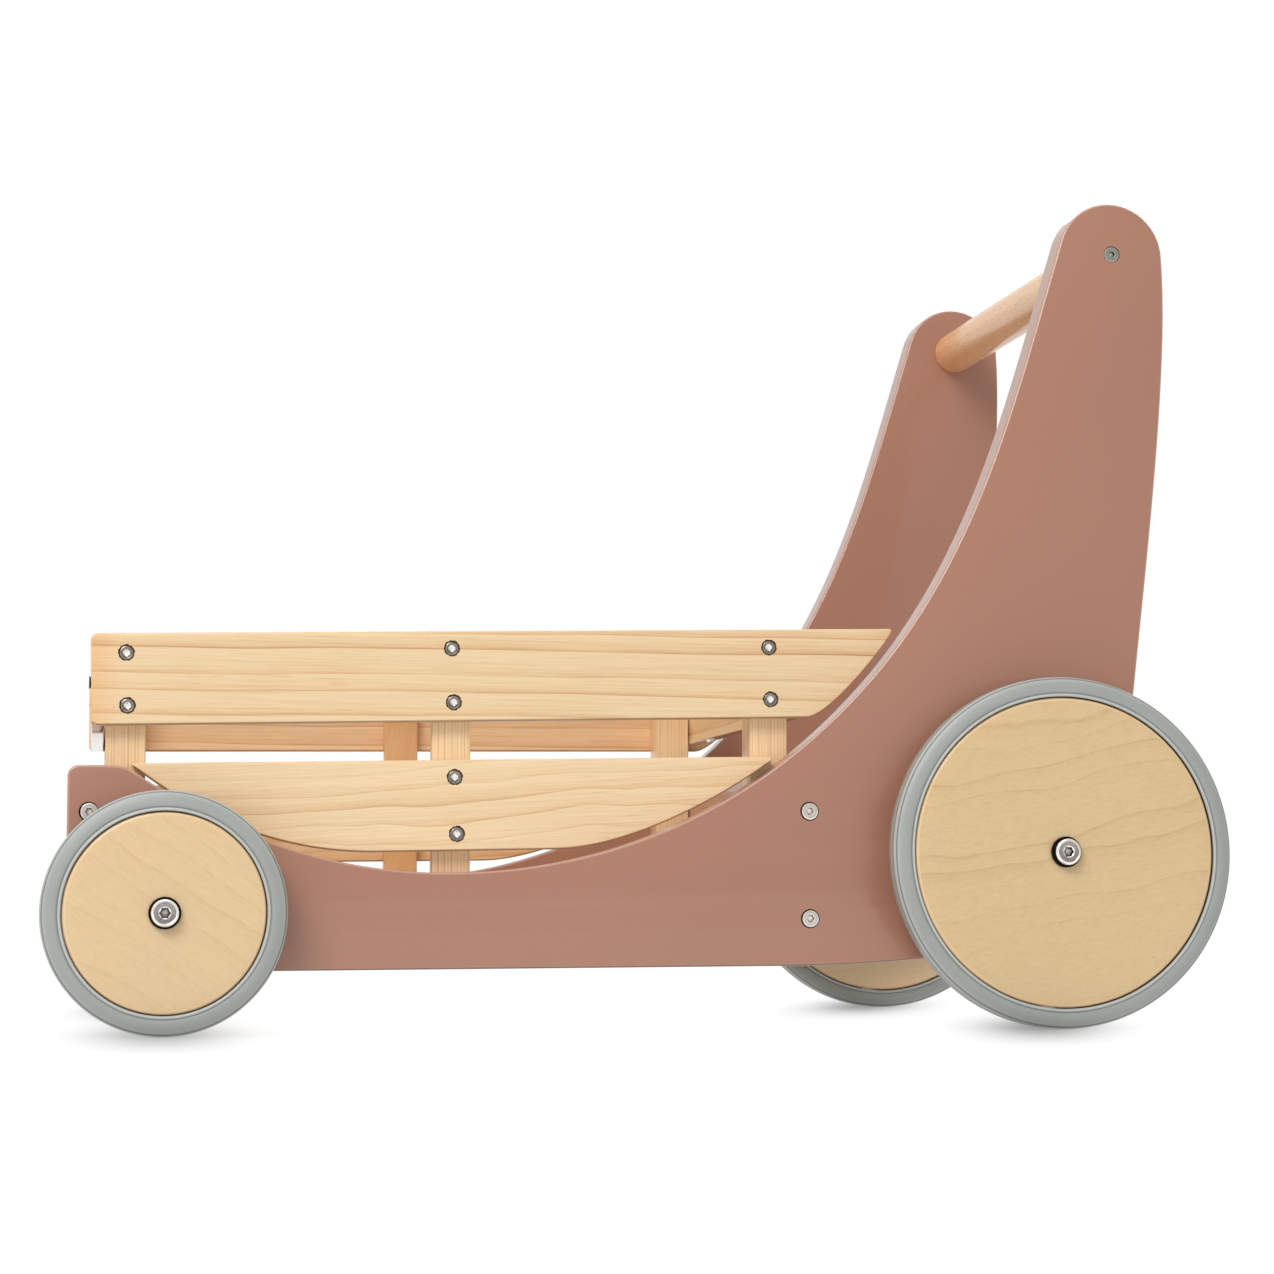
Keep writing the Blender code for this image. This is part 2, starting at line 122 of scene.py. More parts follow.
def slab(outline, start, end, edge, axes, holes=(), bend=5):
    # the outline carried along a rounded edge: at angle t it is moved in by edge·(1 - sin t) at depth
    # edge·(1 - cos t); values are sin 2t on the rounded edge, 0 on the faces and -1 inside a hole
    # holes are (centre, [(depth from the start face, radius), ...], ragged) and run right through
    outline = np.asarray(outline, float)
    following = np.roll(outline, -1, 0)
    if (outline[:, 0] * following[:, 1] - following[:, 0] * outline[:, 1]).sum() < 0:
        outline = outline[::-1]
    edge = np.broadcast_to(np.asarray(edge, float), len(outline))
    normal = outwardOf(outline)
    inward = math.copysign(1, end - start)
    count = len(outline)
    turn = np.radians(np.linspace(0, 90, bend + 1))
    rows, edgeHighlight = [], []
    for face, way, angles in ((start, inward, turn), (end, -inward, turn[::-1])):
        strip = [placed(outline, face + way * (edge + fine["strip"]), axes)]
        bent = []
        for t in angles:
            drawnIn = outline - normal * (edge * (1 - math.sin(t)))[:, None]
            bent.append(placed(drawnIn, face + way * edge * (1 - math.cos(t)), axes))
        bentHighlight = [np.full(count, math.sin(2 * t)) for t in angles]
        rows += bent + strip if face == start else strip + bent
        edgeHighlight += bentHighlight + [np.zeros(count)] if face == start else [np.zeros(count)] + bentHighlight
    faces = gridFaces(len(rows), count)
    points, values = np.vstack(rows), np.concatenate(edgeHighlight)
    loops = ([np.arange(count)], [np.arange(count) + count * (len(rows) - 1)])
    around = fine["holeCount"]
    angle = np.radians(np.arange(around) * 360 / around)
    for number, (centre, wall, ragged) in enumerate(holes):
        first = len(points)
        torn = 1 + ragged * sum(np.sin(lobes * angle + lag * number) for lobes, lag in fine["holeWaves"])
        ring = np.stack([np.cos(angle) * torn, np.sin(angle) * torn], 1)
        for depth, radius in wall:
            points = np.vstack([points, placed(np.array(centre) + radius * ring, start + inward * depth, axes)])
        values = np.concatenate([values, np.repeat([0.0] + [-1.0] * (len(wall) - 2) + [0.0], around)])
        faces += gridFaces(len(wall), around, first=first)
        loops[0].append(np.arange(around) + first)
        loops[1].append(np.arange(around) + first + around * (len(wall) - 1))
    for cap in loops:
        order = np.concatenate(cap)
        if len(cap) == 1:
            faces.append(order.tolist())
        else:
            rims = [[Vector(points[k]) for k in loop] for loop in cap]
            faces += order[np.array(tessellate_polygon(rims))].tolist()
    return points, faces, values


def turnedShape(profile, centre, count, axis="Y", sign=1, unit=None, ring=False):
    # rows of (distance, radius, share, tone): radius times a circle mixed with the unit shape by share
    rows = np.array([tuple(row) + (0.0,) * (4 - len(row)) for row in profile])
    a = np.arange(count) * 2 * math.pi / count
    shape = np.ones(count) if unit is None else unit(a)
    radius = rows[:, 1:2] * (1 - rows[:, 2:3] + rows[:, 2:3] * shape[None, :])
    along = "XYZ".index(axis)
    one, other = [k for k in range(3) if k != along]
    points = np.empty((len(rows), count, 3))
    points[..., along] = centre[along] + sign * rows[:, 0:1]
    points[..., one] = centre[one] + radius * np.cos(a)
    points[..., other] = centre[other] + radius * np.sin(a)
    return points.reshape(-1, 3), gridFaces(len(rows), count, closeRows=ring), np.repeat(rows[:, 3], count)


def hexagon(a):
    # radius of a hexagon whose corners are at 1: cos 30° over cos of the angle from the nearest flat's middle
    return math.cos(math.pi / 6) / np.cos(np.mod(a, math.pi / 3) - math.pi / 6)


def turnedHexagon(a):
    # the hexagon with a flat where the other has a corner
    return hexagon(a + math.pi / 6)


def crossRecess(a):
    # radius of a plus sign with arms of length 1 and half width 0.3
    turn = np.mod(a + math.pi / 4, math.pi / 2) - math.pi / 4
    return np.minimum(1 / np.cos(turn), 0.3 / np.maximum(np.abs(np.sin(turn)), 1e-6))


def turnedAbout(outline, centre, degrees):
    # the outline turned anticlockwise about a centre: x·cos - z·sin, x·sin + z·cos
    c, s = math.cos(math.radians(degrees)), math.sin(math.radians(degrees))
    return (outline - centre) @ np.array([[c, s], [-s, c]]) + centre


def linearColour(red, green, blue):
    # sRGB 0 to 255 as linear light
    share = np.array([red, green, blue]) / 255
    value = np.where(share <= 0.04045, share / 12.92, ((share + 0.055) / 1.055) ** 2.4)
    return (*value.tolist(), 1.0)


def put(tree, kind, sockets=None, **settings):
    # one node, its settings, and its sockets given as plain values or as sockets to join
    made = tree.nodes.new("ShaderNode" + kind)
    for key, value in settings.items():
        setattr(made, key, value)
    for key, value in (sockets or {}).items():
        if isinstance(value, bpy.types.NodeSocket):
            tree.links.new(value, made.inputs[key])
        else:
            made.inputs[key].default_value = value
    return made


def calc(tree, operation, one, other=0.0):
    # the operation on one and other, such as one·other
    return put(tree, "Math", {0: one, 1: other}, operation=operation).outputs[0]


def ranged(tree, value, toLow, toHigh, fromLow=0.0, fromHigh=1.0):
    # toLow + (toHigh - toLow)·(value - fromLow)/(fromHigh - fromLow), held between the two
    return put(tree, "MapRange", {0: value, 1: fromLow, 2: fromHigh, 3: toLow, 4: toHigh}).outputs[0]


def mixed(tree, share, one, other, blend="MIX"):
    # one·(1 - share) + other·share, or the same with a blend of the two in place of other
    return put(tree, "Mix", {0: share, 6: one, 7: other}, data_type="RGBA", blend_type=blend).outputs[2]


def noiseAt(tree, place, scale, detail, rough=0.5):
    # even noise about 0.5 with features one over the scale wide
    sockets = {"Vector": place, "Scale": scale, "Detail": detail, "Roughness": rough}
    return put(tree, "TexNoise", sockets).outputs["Fac"]


def stretchedNoise(tree, place, scale, detail=3.0, rough=0.55):
    # noise at (along, across, depth), each multiplied by its own scale
    spots = [calc(tree, "MULTIPLY", p, s) for p, s in zip(place, scale)]
    return noiseAt(tree, put(tree, "CombineXYZ", dict(enumerate(spots))).outputs[0], 1.0, detail, rough)


def colourSteps(tree, value, steps):
    # a ramp through (position, sRGB) steps
    ramp = put(tree, "ValToRGB", {"Fac": value})
    stops = ramp.color_ramp.elements
    while len(stops) < len(steps):
        stops.new(0.5)
    for stop, (position, colour) in zip(stops, steps):
        stop.position = position
        stop.color = linearColour(*colour)
    return ramp.outputs["Color"]


def newFinish(name, **values):
    # an empty finish with plain values on its shader
    material = bpy.data.materials.new(name)
    material.use_nodes = True
    tree = material.node_tree
    shader = tree.nodes["Principled BSDF"]
    for key, value in values.items():
        shader.inputs[key.replace("_", " ")].default_value = value
    return material, tree, shader


def objectPlace(tree, axes="XYZ"):
    # the object's own coordinates, one socket for each named axis
    split = put(tree, "SeparateXYZ", {0: put(tree, "TexCoord").outputs["Object"]})
    return [split.outputs[axis] for axis in axes]


def edgeValue(tree):
    # the values that slab and turnedShape leave on the points
    return put(tree, "Attribute", attribute_name="edge").outputs["Fac"]


def tinted(tree, colour, value, share, tint):
    # the colour mixed towards an sRGB tint by value·share
    return mixed(tree, calc(tree, "MULTIPLY", value, share), colour, linearColour(*tint))


def shadedUnder(tree, colour, look):
    # painted shade underneath: its share grows evenly to its full value as the normal's z falls from -0.25 to -0.55
    facing = put(tree, "SeparateXYZ", {0: put(tree, "NewGeometry").outputs["Normal"]}).outputs["Z"]
    under = ranged(tree, facing, 0.0, look["under"], -0.25, -0.55)
    return mixed(tree, under, colour, linearColour(*look["underShade"]))


def surfaceOn(tree, shader, colour, uneven, rough, spread, height, bump):
    # roughness runs from rough - spread[0] to rough + spread[1] with the uneven value; bump is (strength, distance)
    tree.links.new(colour, shader.inputs["Base Color"])
    tree.links.new(ranged(tree, uneven, rough - spread[0], rough + spread[1]), shader.inputs["Roughness"])
    made = put(tree, "Bump", {"Height": height, "Strength": bump[0], "Distance": bump[1]})
    tree.links.new(made.outputs[0], shader.inputs["Normal"])


# what all woods share: colour stops, the ring's curve, how lines fade along the grain, pores, and painted shade in
# holes
grain = {
    "stops": (0.05, 0.28, 0.50, 0.85), "base": 0.25, "ringPower": 1.6, "unevenScale": (0.9, 0.0, 0.0),
    "fadeTo": (0.55, 1.15), "fadeFrom": (0.3, 0.7), "poreSoft": 0.06, "endShare": 0.5, "holeShadeShare": -0.9,
    "hole": (58, 40, 26), "spread": (0.06, 0.08), "bump": (0.10, 0.0002),
}


def woodFinish(name, look):
    # count = (across - slope·along + wave + lean·depth)/pitch + uneven noise; each whole count is one ring that
    # darkens as its fraction grows and ends in a thin line; fibre noise, cloudy tone and short dark pores lie
    # along the grain under clear lacquer
    material, tree, shader = newFinish(name, Coat_Weight=look["coat"], Coat_Roughness=look["coatRough"])
    along, across, depth = objectPlace(tree, look["axes"])
    across = calc(tree, "SUBTRACT", across, calc(tree, "MULTIPLY", along, look["slope"]))
    place = (along, across, depth)
    wave = calc(tree, "SUBTRACT", stretchedNoise(tree, place, look["waveScale"], 2.0), 0.5)
    count = calc(tree, "ADD", across, calc(tree, "MULTIPLY", wave, look["wave"]))
    count = calc(tree, "ADD", count, calc(tree, "MULTIPLY", depth, look["lean"]))
    count = calc(tree, "DIVIDE", count, look["pitch"])
    uneven = stretchedNoise(tree, (count, count, count), grain["unevenScale"], 1.0)
    count = calc(tree, "ADD", count, calc(tree, "MULTIPLY", uneven, look["uneven"]))
    part = calc(tree, "FRACT", count)
    whole = calc(tree, "FLOOR", count)
    chance = put(tree, "TexWhiteNoise", {"W": whole}, noise_dimensions="1D").outputs["Value"]
    weight = ranged(tree, chance, look["faint"], 1.0)
    close = calc(tree, "MULTIPLY", calc(tree, "SUBTRACT", 1.0, part), 1 / look["close"])
    close = calc(tree, "MINIMUM", close, 1.0)
    line = calc(tree, "MULTIPLY", calc(tree, "POWER", part, look["sharp"]), look["lineShare"])
    band = calc(tree, "MULTIPLY", calc(tree, "POWER", part, grain["ringPower"]), look["ringShare"])
    ring = calc(tree, "MULTIPLY", calc(tree, "MULTIPLY", calc(tree, "ADD", line, band), close), weight)
    fade = ranged(tree, stretchedNoise(tree, place, look["fadeScale"], 2.0), *grain["fadeTo"], *grain["fadeFrom"])
    fibre = stretchedNoise(tree, place, look["fibreScale"], 4.0, 0.65)
    cloud = stretchedNoise(tree, place, look["cloudScale"], 3.0)
    tone = calc(tree, "MULTIPLY", ring, fade)
    for value, share in ((fibre, look["fibreShare"]), (cloud, look["cloudShare"])):
        tone = calc(tree, "ADD", tone, calc(tree, "MULTIPLY", calc(tree, "SUBTRACT", value, 0.5), share))
    steps = list(zip(grain["stops"], look["tones"]))
    colour = colourSteps(tree, calc(tree, "ADD", tone, grain["base"]), steps)
    pores = stretchedNoise(tree, place, look["poreScale"], 1.0)
    pores = ranged(tree, pores, 0.0, 1.0, look["poreFrom"], look["poreFrom"] + grain["poreSoft"])
    colour = tinted(tree, colour, pores, look["poreShare"], look["pore"])
    if "endFrom" in look:
        end = calc(tree, "MULTIPLY", ranged(tree, along, 0.0, 1.0, look["endFrom"], look["endTo"]), grain["endShare"])
        colour = mixed(tree, end, colour, linearColour(*look["end"]), "MULTIPLY")
    edge = edgeValue(tree)
    # rounded edges take the edge tone, which on birch is a painted highlight
    colour = tinted(tree, colour, edge, look["edgeShare"], look["edgeTone"])
    # painted shade inside holes and where the tyre grips a disc
    colour = tinted(tree, colour, edge, grain["holeShadeShare"], grain["hole"])
    # faces turned down are painted darker as shade
    colour = shadedUnder(tree, colour, look)
    height = calc(tree, "SUBTRACT", fibre, pores)
    surfaceOn(tree, shader, colour, fibre, look["rough"], grain["spread"], height, grain["bump"])
    return material


pineLook = {
    "axes": "XZY", "slope": -0.006, "pitch": -0.0112, "wave": 0.010, "waveScale": (4.0, 16.0, 16.0),
    "lean": 0.35, "uneven": 1.3, "sharp": 14.0, "close": 0.035, "faint": 0.40, "lineShare": 0.60,
    "ringShare": 0.30, "fadeScale": (6.0, 60.0, 60.0), "fibreShare": 0.58, "fibreScale": (22.0, 1300.0, 1300.0),
    "cloudShare": 0.16, "cloudScale": (9.0, 35.0, 35.0), "poreScale": (55.0, 2600.0, 2600.0),
    "poreFrom": 0.68, "poreShare": 0.30, "pore": (176, 126, 76), "rough": 0.48, "coat": 0.5, "coatRough": 0.14,
    "edgeShare": 0.25, "edgeTone": (240, 190, 128), "under": 0.55, "underShade": (116, 74, 43),
    "tones": [(247, 221, 181), (239, 209, 164), (227, 187, 138), (193, 143, 91)],
}
upperLook = {**pineLook, "endFrom": -0.268, "endTo": -0.284, "end": (255, 214, 168)}
waveLook = {
    **pineLook, "slope": 0.055, "wave": 0.028, "waveScale": (7.0, 11.0, 11.0), "pitch": -0.0092,
    "lineShare": 0.42, "ringShare": 0.20,
    "tones": [(251, 226, 185), (244, 214, 169), (232, 193, 144), (198, 148, 96)],
}
# painted light: lighter pine tones for the right side's slats, making up for the shade they lie in
farLitTones = [(253, 218, 176), (245, 205, 159), (230, 183, 134), (196, 143, 92)]
crossLook = {**pineLook, "axes": "YZX", "coat": 1.0, "coatRough": 0.05}
postLook = {
    **pineLook, "axes": "ZXY", "slope": 0.0, "pitch": 0.0017, "wave": 0.0010, "lean": 0.2, "uneven": 1.2,
    "sharp": 3.0, "close": 0.3, "faint": 0.25, "lineShare": 0.86, "ringShare": 0.14,
    "fadeScale": (5.0, 300.0, 300.0), "fibreScale": (5.0, 1100.0, 1100.0), "fibreShare": 0.24,
    "tones": [(253, 224, 181), (247, 213, 167), (231, 190, 140), (190, 143, 92)],
}
brownPostLook = {
    **postLook, "slope": 0.25, "pitch": 0.0012, "lineShare": 0.24,
    "fibreScale": (40.0, 900.0, 900.0), "fibreShare": 0.40,
    "tones": [(240, 192, 140), (230, 178, 124), (214, 160, 106), (184, 130, 82)],
}
# birch's edge tone paints the rounded edges and the discs' chamfers lighter as a highlight
birchLook = {
    **pineLook, "slope": 0.20, "pitch": 0.0125, "wave": 0.034, "waveScale": (12.0, 22.0, 22.0), "lean": 0.1,
    "sharp": 22.0, "close": 0.05, "faint": 0.15, "lineShare": 0.62, "ringShare": 0.12,
    "fibreShare": 0.40, "fibreScale": (170.0, 1300.0, 1300.0),
    "cloudShare": 0.22, "cloudScale": (260.0, 420.0, 420.0),
    "poreScale": (150.0, 1800.0, 1800.0), "poreFrom": 0.72, "poreShare": 0.14, "rough": 0.44,
    "edgeShare": 0.7, "edgeTone": (252, 214, 168), "under": 0.0,
    "tones": [(232, 203, 154), (223, 192, 143), (211, 177, 128), (184, 146, 100)],
}
frontBirchLook = {
    **birchLook, "slope": -0.62, "waveScale": (10.0, 22.0, 22.0), "lineShare": 0.46,
    "tones": [(237, 207, 161), (228, 197, 150), (217, 183, 135), (194, 156, 109)],
}
# painted light: lighter birch tones for the right wheels' discs, making up for the shade they lie in
farLitBirchTones = [(252, 222, 176), (245, 213, 166), (234, 199, 152), (210, 172, 126)]
beechLook = {
    **pineLook, "axes": "YZX", "slope": 0.0, "pitch": 0.006, "wave": 0.004, "sharp": 3.0, "close": 0.2,
    "lineShare": 0.14, "ringShare": 0.16, "fibreShare": 0.50, "fibreScale": (90.0, 1100.0, 1100.0),
    "poreScale": (220.0, 2200.0, 2200.0), "poreFrom": 0.63, "poreShare": 0.50, "pore": (176, 118, 72),
    "rough": 0.40, "under": 0.0, "endFrom": -0.04, "endTo": 0.139, "end": (255, 214, 168),
    "tones": [(254, 217, 175), (246, 201, 154), (231, 180, 130), (199, 144, 95)],
}
pine = woodFinish("pineAlong", upperLook)
pineWaved = woodFinish("pineWaved", waveLook)
# the right side's slats take the lightened tones as painted light
pineFarLit = woodFinish("pineFarLit", {**pineLook, "tones": farLitTones, "lineShare": 0.85, "ringShare": 0.42})
pineFarWavedLit = woodFinish("pineFarWavedLit", {**waveLook, "tones": farLitTones})
pineCross = woodFinish("pineCross", crossLook)
pinePost = woodFinish("pinePost", postLook)
brownPost = woodFinish("brownPost", brownPostLook)
birchRear = woodFinish("birchRear", birchLook)
birchFront = woodFinish("birchFront", frontBirchLook)
birchFarLit = woodFinish("birchFarLit", {**birchLook, "tones": farLitBirchTones})
plywood = woodFinish("birchFloor", {**birchLook, "axes": "XYZ"})
beech = woodFinish("beechHandle", beechLook)

# the paint's edge colour is a painted highlight, its hole colour and its under colour painted shade
paintLook = {
    "colour": (177, 127, 104), "deep": (170, 120, 98), "edgeHighlight": (226, 184, 164), "recessShade": (84, 62, 53),
    "rough": 0.36, "spread": (0.05, 0.07), "coat": 0.65, "coatRough": 0.08, "under": 0.75, "underShade": (92, 62, 51),
    "drift": 9.0, "grit": 260.0, "peel": 900.0, "edgeHighlightShare": 0.35, "recessShadeShare": -0.9, "bump": (0.05, 0.0002),
}
rubberLook = {
    "colour": (168, 173, 169), "deep": (158, 162, 157), "lip": (226, 228, 224), "grooveShade": (44, 36, 28),
    "rough": 0.46, "spread": (0.08, 0.10), "bloom": 38.0, "speck": 1400.0, "bump": (0.06, 0.0002),
}
# deep is the near black of the painted shade in recesses
steelLook = {"deep": (16, 14, 13), "cloud": 700.0, "cloudShare": 0.5, "spread": (0.08, 0.12), "bump": (0.08, 0.0001)}
plasticLook = {
    "tones": [(0.3, (7, 6, 6)), (0.7, (14, 12, 11))], "shine": 0.08, "grain": 1800.0,
    "rough": 0.42, "spread": (0.08, 0.08), "bump": (0.1, 0.0001),
}


def paintFinish(look):
    # satin paint under clear lacquer: slow colour drift, a painted highlight on the rounded edges, painted shade
    # inside holes and underneath, fine orange-peel bump
    material, tree, shader = newFinish("satinPaint", Coat_Weight=look["coat"], Coat_Roughness=look["coatRough"])
    place = put(tree, "TexCoord").outputs["Object"]
    drift = noiseAt(tree, place, look["drift"], 4.0)
    colour = mixed(tree, drift, linearColour(*look["colour"]), linearColour(*look["deep"]))
    edge = edgeValue(tree)
    # a painted highlight on the rounded edges
    colour = tinted(tree, colour, edge, look["edgeHighlightShare"], look["edgeHighlight"])
    # painted shade inside the screws' seats
    colour = tinted(tree, colour, edge, look["recessShadeShare"], look["recessShade"])
    colour = shadedUnder(tree, colour, look)
    grit = noiseAt(tree, place, look["grit"], 3.0)
    peel = noiseAt(tree, place, look["peel"], 2.0)
    surfaceOn(tree, shader, colour, grit, look["rough"], look["spread"], peel, look["bump"])
    return material


def rubberFinish(look):
    # smooth rubber with a dusty bloom and fine moulding speckle, painted shade in the grooves, a painted highlight on
    # the lip
    material, tree, shader = newFinish("greyRubber")
    place = put(tree, "TexCoord").outputs["Object"]
    bloom = noiseAt(tree, place, look["bloom"], 5.0)
    speck = noiseAt(tree, place, look["speck"], 2.0)
    colour = mixed(tree, bloom, linearColour(*look["colour"]), linearColour(*look["deep"]))
    edge = edgeValue(tree)
    # positive values paint a highlight on the lip and ridges, negative ones paint shade in the grooves
    colour = tinted(tree, colour, edge, 1.0, look["lip"])
    colour = tinted(tree, colour, edge, -1.0, look["grooveShade"])
    surfaceOn(tree, shader, colour, bloom, look["rough"], look["spread"], speck, look["bump"])
    return material


def steelFinish(name, bright, dull, rough):
    # plated steel: cloudy tone between two greys, painted brighter on the rims as a highlight, near black deep in a
    # recess as painted shade, fine scratches as bump
    material, tree, shader = newFinish(name, Metallic=1.0)
    cloud = noiseAt(tree, put(tree, "TexCoord").outputs["Object"], steelLook["cloud"], 4.0, 0.7)
    tone = calc(tree, "ADD", calc(tree, "MULTIPLY", cloud, steelLook["cloudShare"]), edgeValue(tree))
    middle = tuple((a + b) // 2 for a, b in zip(bright, dull))
    colour = colourSteps(tree, tone, [(0.0, steelLook["deep"]), (0.14, dull), (0.50, middle), (0.95, bright)])
    surfaceOn(tree, shader, colour, cloud, rough, steelLook["spread"], cloud, steelLook["bump"])
    return material


def plasticFinish(look):
    # black moulded plastic with a faint grain
    material, tree, shader = newFinish("blackPlastic", Specular_IOR_Level=look["shine"])
    speck = noiseAt(tree, put(tree, "TexCoord").outputs["Object"], look["grain"], 3.0)
    colour = colourSteps(tree, speck, look["tones"])
    surfaceOn(tree, shader, colour, speck, look["rough"], look["spread"], speck, look["bump"])
    return material


paint = paintFinish(paintLook)
rubber = rubberFinish(rubberLook)
platedSteel = steelFinish("platedSteel", (252, 247, 240), (198, 188, 174), 0.28)
boltSteel = steelFinish("boltSteel", (255, 254, 252), (152, 141, 134), 0.20)
dullSteel = steelFinish("dullSteel", (208, 207, 198), (128, 129, 118), 0.34)
slatSteel = steelFinish("slatSteel", (252, 250, 246), (104, 94, 83), 0.26)
blackPlastic = plasticFinish(plasticLook)
print("finishes made")

panel = {
    "out": 0.1575, "thick": 0.018, "edge": 0.0013, "axleHole": 0.0043,
    "frontX": -0.2943, "bottom": 0.0309, "noseTop": 0.1343, "noseCorner": 0.0055, "frontCorner": 0.025,
    "sweepLow": (-0.1046, 0.0807), "sweepMid": (0.1162, 0.1782), "noseStart": (-0.2645, 0.1326),
    "lobe": 0.0445, "head": (0.2560, 0.4132), "headR": 0.029, "headSpan": (4.0, 162.5),
}
axle = {"front": (-0.2464, 0.060513), "rear": (0.2156, 0.091318)}
panelIn = panel["out"] - panel["thick"]
gap = 0.0003


def panelOutline():
    # the panel's edge as arcs and cubic curves, anticlockwise from the low front corner
    p = panel
    low, mid, top = p["sweepLow"], p["sweepMid"], p["noseTop"]
    lobe = arc(axle["rear"], p["lobe"], -79, 0, 30)
    head = arc(p["head"], p["headR"], *p["headSpan"], 60)
    frontCorner = (p["frontX"] + p["frontCorner"], p["bottom"] + p["frontCorner"])
    nose = (p["frontX"] + p["noseCorner"], top - p["noseCorner"])
    return np.vstack([
        arc(frontCorner, p["frontCorner"], 180, 270, 20),
        bezier((0.075, 0.0326), (0.130, 0.0329), (0.1756, 0.0381), lobe[0], 24),
        lobe[:-1],
        bezier(lobe[-1], (0.2517, 0.1200), (0.2914, 0.3229), head[0], 50),
        head[:-1],
        bezier(head[-1], (0.2016, 0.3367), (0.1806, 0.2480), mid, 50),
        bezier(mid, (0.0689, 0.1269), (-0.0020, low[1]), low, 50),
        bezier(low, (-0.1926, low[1]), (-0.2505, 0.1250), p["noseStart"], 40),
        bezier(p["noseStart"], (-0.2665, 0.1337), (-0.2715, top), (-0.2765, top), 14),
        arc(nose, p["noseCorner"], 90, 180, 12),
    ])


# flat-head screws; a seat is wider than its head by the slack, and a board screw's seat lies a little ahead
screw = {
    "head": 0.0044, "handleHead": 0.0041, "rim": 0.0008, "cone": 0.0028, "shank": 0.0022, "long": 0.045,
    "point": 0.005, "socket": 0.0020, "slack": 0.0006, "ahead": 0.0003, "lip": 0.0002, "count": 72,
}
screwPlaces = {
    "front_board_screw_lower": (-0.2833, 0.0554), "front_board_screw_upper": (-0.2833, 0.1109),
    "rear_board_screw_lower": (0.0868, 0.0570), "rear_board_screw_upper": (0.0868, 0.1128),
    "handle_screw": (0.2567, 0.4146),
}


def headOf(name):
    # the head's radius by the screw's place
    return screw["handleHead"] if name == "handle_screw" else screw["head"]


def sunkSeat(name):
    # the hole a flat-head screw lies in, as (depth, radius) rows; the handle's seats have half the slack
    onHandle = name == "handle_screw"
    x, z = screwPlaces[name]
    wide = headOf(name) + (screw["slack"] / 2 if onHandle else screw["slack"])
    narrow = screw["shank"] + screw["slack"]
    depths = (0.0, screw["lip"], screw["rim"], screw["rim"] + screw["cone"], panel["thick"])
    rows = list(zip(depths, (wide, wide, wide, narrow, narrow)))
    return ((x if onHandle else x - screw["ahead"], z), rows, 0.0)


straight = [(0.0, panel["axleHole"]), (panel["thick"], panel["axleHole"])]
holes = [sunkSeat(name) for name in screwPlaces] + [(place, straight, 0.0) for place in axle.values()]
for side, sign in sides.items():
    shape = slab(panelOutline(), sign * panel["out"], sign * panelIn, panel["edge"], "XZY", holes)
    addPiece(f"{side}Panel", shape, "frame", paint, [f"side_panel_{side}"])


def socketScrew(sign, place, head):
    # a flat head with a hexagon socket, its cone, shank and point, as distances in from the panel's face
    shank, rim, socket, lip = screw["shank"], screw["rim"], screw["socket"], screw["lip"]
    # the tones paint highlights on the head's rim and the socket's mouth and floor, and shade on the socket's walls
    rows = [
        (0.0021, 0.0, 1, 0.9), (0.0018, socket * 0.94, 1, -0.25), (0.0004, socket, 1, -0.14),
        (lip, socket + 0.0002, 1, 0.9), (lip, socket + 0.0004, 0, 0.25), (lip, head - 0.0009, 0, 0.15),
        (lip, head - 0.0004, 0, 0.5), (0.0003, head - 0.0001, 0, 0.8), (0.0005, head, 0, 0.4), (rim, head),
        (rim + screw["cone"], shank), (screw["long"] - screw["point"], shank), (screw["long"], 0.0),
    ]
    rows = [(panel["out"] - row[0],) + tuple(row[1:]) for row in rows]
    return turnedShape(rows, (place[0], 0.0, place[1]), screw["count"], sign=sign, unit=hexagon)


for side, sign in sides.items():
    for name, place in screwPlaces.items():
        steel = dullSteel if name == "handle_screw" else platedSteel
        shape = socketScrew(sign, place, headOf(name))
        addPiece(f"{side}_{name}", shape, "frame", steel, [f"{name}_{side}"], sharp=25)
print("panels and their screws made")

# boards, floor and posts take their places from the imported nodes
board = {"edge": 0.0012, "corner": 0.0014}
for end in ("front", "rear"):
    low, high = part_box(f"{end}_board")
    outline = roundedRectangle((low.y, low.z), (high.y, high.z), board["corner"])
    shape = slab(outline, low.x, high.x, board["edge"], "YZX")
    addPiece(f"{end}Board", shape, "frame", paint, [f"{end}_board"])

post = {"edge": 0.0006, "corner": 0.0008}
for place in ("front", "middle", "rear"):
    for side in sides:
        low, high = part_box(f"{place}_post_{side}")
        outline = roundedRectangle((low.x, low.y), (high.x, high.y), post["corner"], 4)
        shape = slab(outline, low.z, high.z, post["edge"], "XYZ", bend=3)
        timber = brownPost if (place, side) == ("middle", "right") else pinePost
        addPiece(f"{side}Post_{place}", shape, "frame", timber, [f"{place}_post_{side}"])

floorBoard = {"edge": 0.0005, "slack": 0.0003}


def floorEdge(side):
    # one side of the board from front to rear, with a notch round each post
    slack, reach = floorBoard["slack"], panelIn - gap
    low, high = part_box("floor_board")
    boxes = [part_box(f"{place}_post_{side}") for place in ("front", "middle", "rear")]
    fronts, rears = [box[0].x - slack for box in boxes], [box[1].x + slack for box in boxes]
    notch = [min(abs(box[0].y), abs(box[1].y)) - slack for box in boxes]
    edge = [
        (low.x, notch[0]), (rears[0], notch[0]), (rears[0], reach), (fronts[1], reach), (fronts[1], notch[1]),
        (rears[1], notch[1]), (rears[1], reach), (fronts[2], reach), (fronts[2], notch[2]), (high.x, notch[2]),
    ]
    return np.array(edge) * [1, sides[side]]


